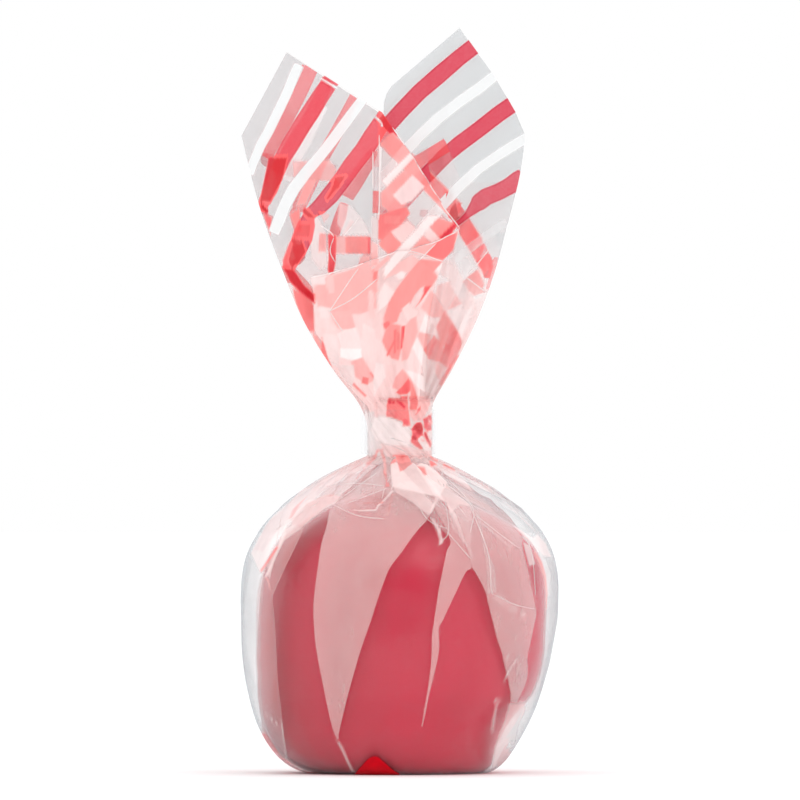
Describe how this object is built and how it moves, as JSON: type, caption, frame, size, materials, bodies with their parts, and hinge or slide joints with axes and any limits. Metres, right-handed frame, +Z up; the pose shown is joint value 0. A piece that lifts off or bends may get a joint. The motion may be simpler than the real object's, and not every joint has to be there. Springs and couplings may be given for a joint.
{
  "type": "toffee apple in a film bag",
  "caption": "Glossy toffee apple standing in a clear striped film bag, gathered and taped at a neck above it and spread into a fan.",
  "frame": {"origin": "middle of the flat base that the apple stands on, at the bottom centre of the bounding box", "axes": "+Z up through the neck to the mouth of the bag; the mouth is spread along X; the front, with the left lobe of the fan, faces -Y"},
  "size_m": [0.081, 0.079, 0.19],
  "materials": {
    "printed_film_over_toffee": "clear glossy polypropylene film, slightly hazy, with red and white stripes, over hard red toffee",
    "clear_tape": "clear glossy tape"
  },
  "bodies": {
    "root": {"film_bag": "printed_film_over_toffee", "neck_tape": "clear_tape"}
  },
  "joints": []
}
